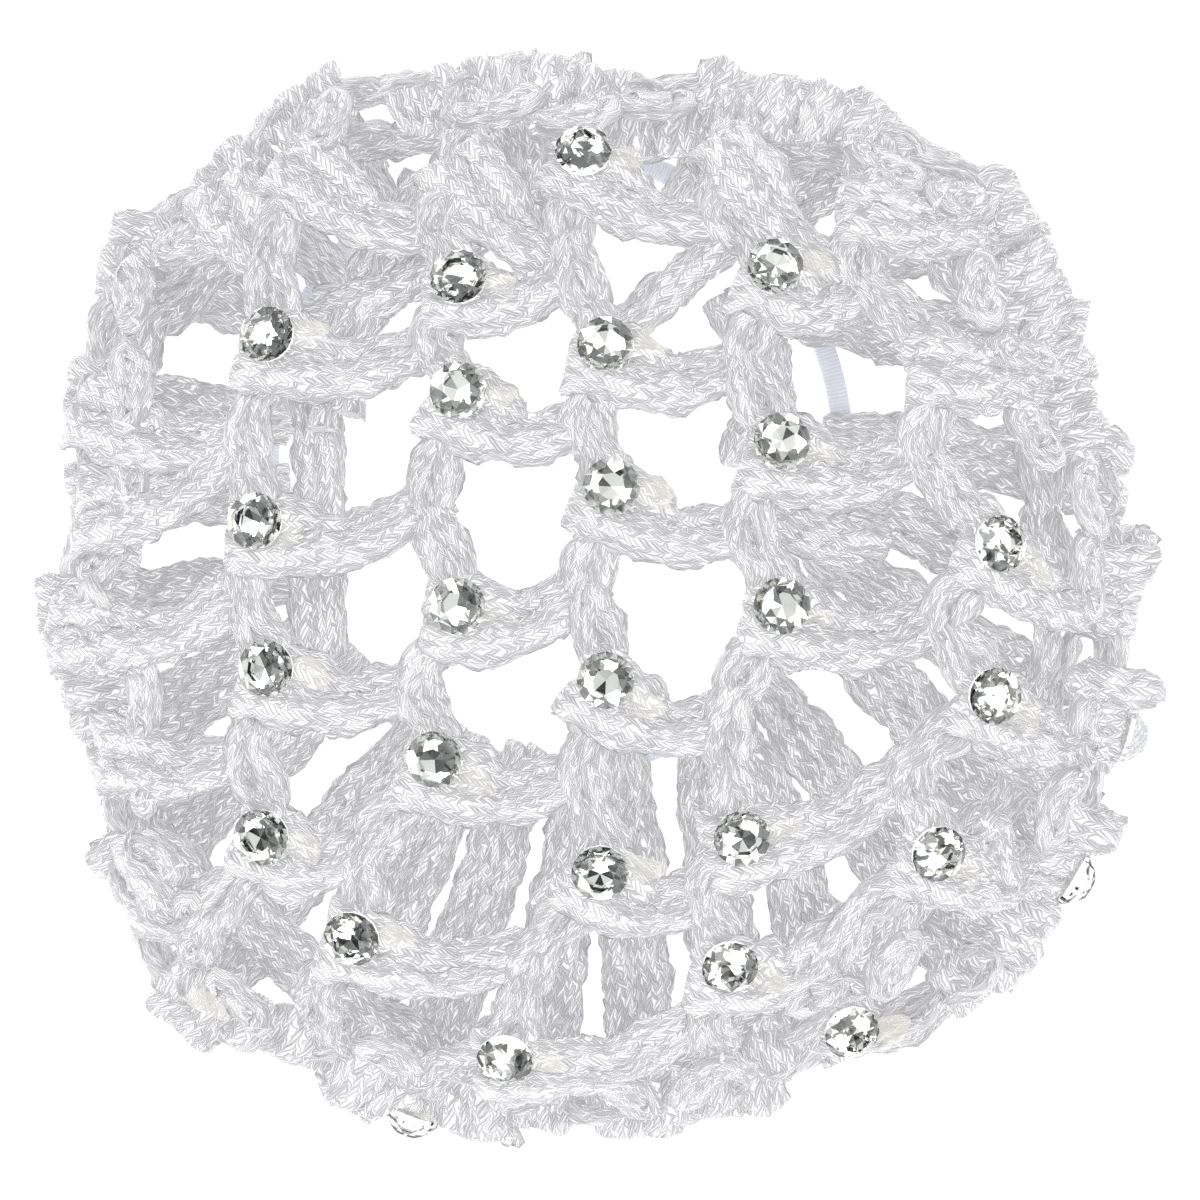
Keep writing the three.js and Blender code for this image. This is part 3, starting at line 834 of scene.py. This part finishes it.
# Stones
# Clear flat-backed glass stones of 4.75 mm. A table of eight sides has eight main facets round it and a rim
# of sixteen small ones, and the back is silver foil pressed in shallow facets. Each is glued to a stitch.
STONE_RADIUS = 2.375
STONE_HEIGHT = 1.9
STONE_TIP = 5  # to either side, in degrees
RIM_FACETS = 16
RING_STEP = math.radians(22.5)
FLAT_ENOUGH = math.radians(1)  # between two facets that are one
STONE_RINGS = [  # corners, radius and height as shares of the stone's, turn in ring steps
    (8, 0.48, 1.00, 0.0), (8, 0.78, 0.66, 1.0), (16, 1.00, 0.24, 0.5), (16, 0.97, 0.00, 0.5),
    (8, 0.50, -0.09, 0.4), (1, 0.00, -0.14, 0.0),
]
glass = Finish("clear_stone", Base_Color=(0.97, 1.0, 0.985, 1), Roughness=0.0, Transmission_Weight=1.0,
               IOR=1.56)
foil = Finish("silver_foil", Base_Color=(0.96, 0.96, 0.94, 1), Roughness=0.08, Metallic=1.0)

bpy.ops.mesh.primitive_circle_add(vertices=8, radius=STONE_RADIUS * MM, fill_type="NGON")
first_stone = bpy.context.object
corners = []
for count, radius, height, turn in STONE_RINGS:
    for corner in range(count):
        angle = (corner * RIM_FACETS / count + turn) * RING_STEP
        reach = STONE_RADIUS * radius * MM
        corners.append((reach * math.cos(angle), reach * math.sin(angle), STONE_HEIGHT * height * MM))
first_stone.data.clear_geometry()
first_stone.data.from_pydata(corners, [], [])
bpy.ops.object.mode_set(mode="EDIT")
bpy.ops.mesh.select_all(action="SELECT")
bpy.ops.mesh.convex_hull()
bpy.ops.mesh.dissolve_limited(angle_limit=FLAT_ENOUGH)
bpy.ops.object.mode_set(mode="OBJECT")
first_stone.data.materials.append(glass.material)
first_stone.data.materials.append(foil.material)
for face in first_stone.data.polygons:
    face.material_index = int(face.normal.z < -0.5)

chance = np.random.default_rng(5)
for number, (place, outward) in enumerate(stone_places, start=1):
    stone = bpy.data.objects.new(f"cut_stone_{number:02d}", first_stone.data.copy())
    bpy.context.collection.objects.link(stone)
    axis = Vector(outward).to_track_quat("Z", "Y").to_matrix().to_4x4()
    spin = Matrix.Rotation(chance.uniform(0, math.pi / 4), 4, "Z")
    tip = Matrix.Rotation(math.radians(chance.uniform(-STONE_TIP, STONE_TIP)), 4, "X")
    base = Vector((place + outward * STONE_LIFT + CENTRING) * MM)
    stone.data.transform(Matrix.Translation(base) @ axis @ tip @ spin)
    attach(stone, "root")
    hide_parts(f"stone_{number:02d}")
bpy.data.objects.remove(first_stone)


# Glue
# Clear glue has run out beside the stones, mostly on their right, and dried there as a low glossy dab. Two
# dabs on the widest round hold no stone.
GLUE_HALF_LENGTH = 1.9
GLUE_HALF_WIDTH = 1.2
GLUE_HEIGHT = 0.3
GLUE_REACH = 3.4  # from the middle of the stone
GLUE_BULGE = 0.16  # of its uneven edge, as a share of its size
GLUE_BULGES = 3
GLUE_SIZE = (0.7, 1.15)  # the range of a dab's size, as a share
GLUE_TURN = (-0.7, 0.15)  # the range of its turn from level, in radians
BARE_DABS = [(-32.1, -33.0), (11.5, -41.5)]
# painted glow: the dabs give off faint light in a warm tint
glue = Finish("dried_glue", Base_Color=(0.74, 0.73, 0.66, 1), Roughness=0.12, Alpha=0.26,
              Emission_Color=(0.9, 0.89, 0.8, 1), Emission_Strength=0.2)
bpy.ops.mesh.primitive_ico_sphere_add(subdivisions=4, radius=1)
first_dab = bpy.context.object
bpy.ops.object.shade_smooth()
first_dab.data.materials.append(glue.material)
dab_places = [(place, outward, 1) for place, outward in stone_places]
dab_places += [(*crown_station(x, y), 0) for x, y in BARE_DABS]
for number, (place, outward, beside) in enumerate(dab_places, start=1):
    size = chance.uniform(*GLUE_SIZE)
    turn = chance.uniform(*GLUE_TURN)
    dab = bpy.data.objects.new(f"glue_dab_{number:02d}", first_dab.data.copy())
    bpy.context.collection.objects.link(dab)
    axis = Vector(outward).to_track_quat("Z", "Y").to_matrix().to_4x4()
    east = axis.inverted() @ Vector(unit(np.cross((0, 1, 0), outward)))
    spin = Matrix.Rotation(math.atan2(east.y, east.x) + turn, 4, "Z")
    shape = Matrix.Diagonal((GLUE_HALF_LENGTH * size * MM, GLUE_HALF_WIDTH * size * MM, GLUE_HEIGHT * MM, 1))
    slide = Matrix.Translation((beside * GLUE_REACH * MM, 0, 0))
    for vertex in dab.data.vertices:
        bend = math.atan2(vertex.co.y, vertex.co.x) * GLUE_BULGES + number
        vertex.co *= 1 + GLUE_BULGE * math.sin(bend) * (1 - abs(vertex.co.z))
    base = Vector((place + outward * STONE_BED + CENTRING) * MM)
    dab.data.transform(Matrix.Translation(base) @ axis @ spin @ slide @ shape)
    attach(dab, "root")
bpy.data.objects.remove(first_dab)
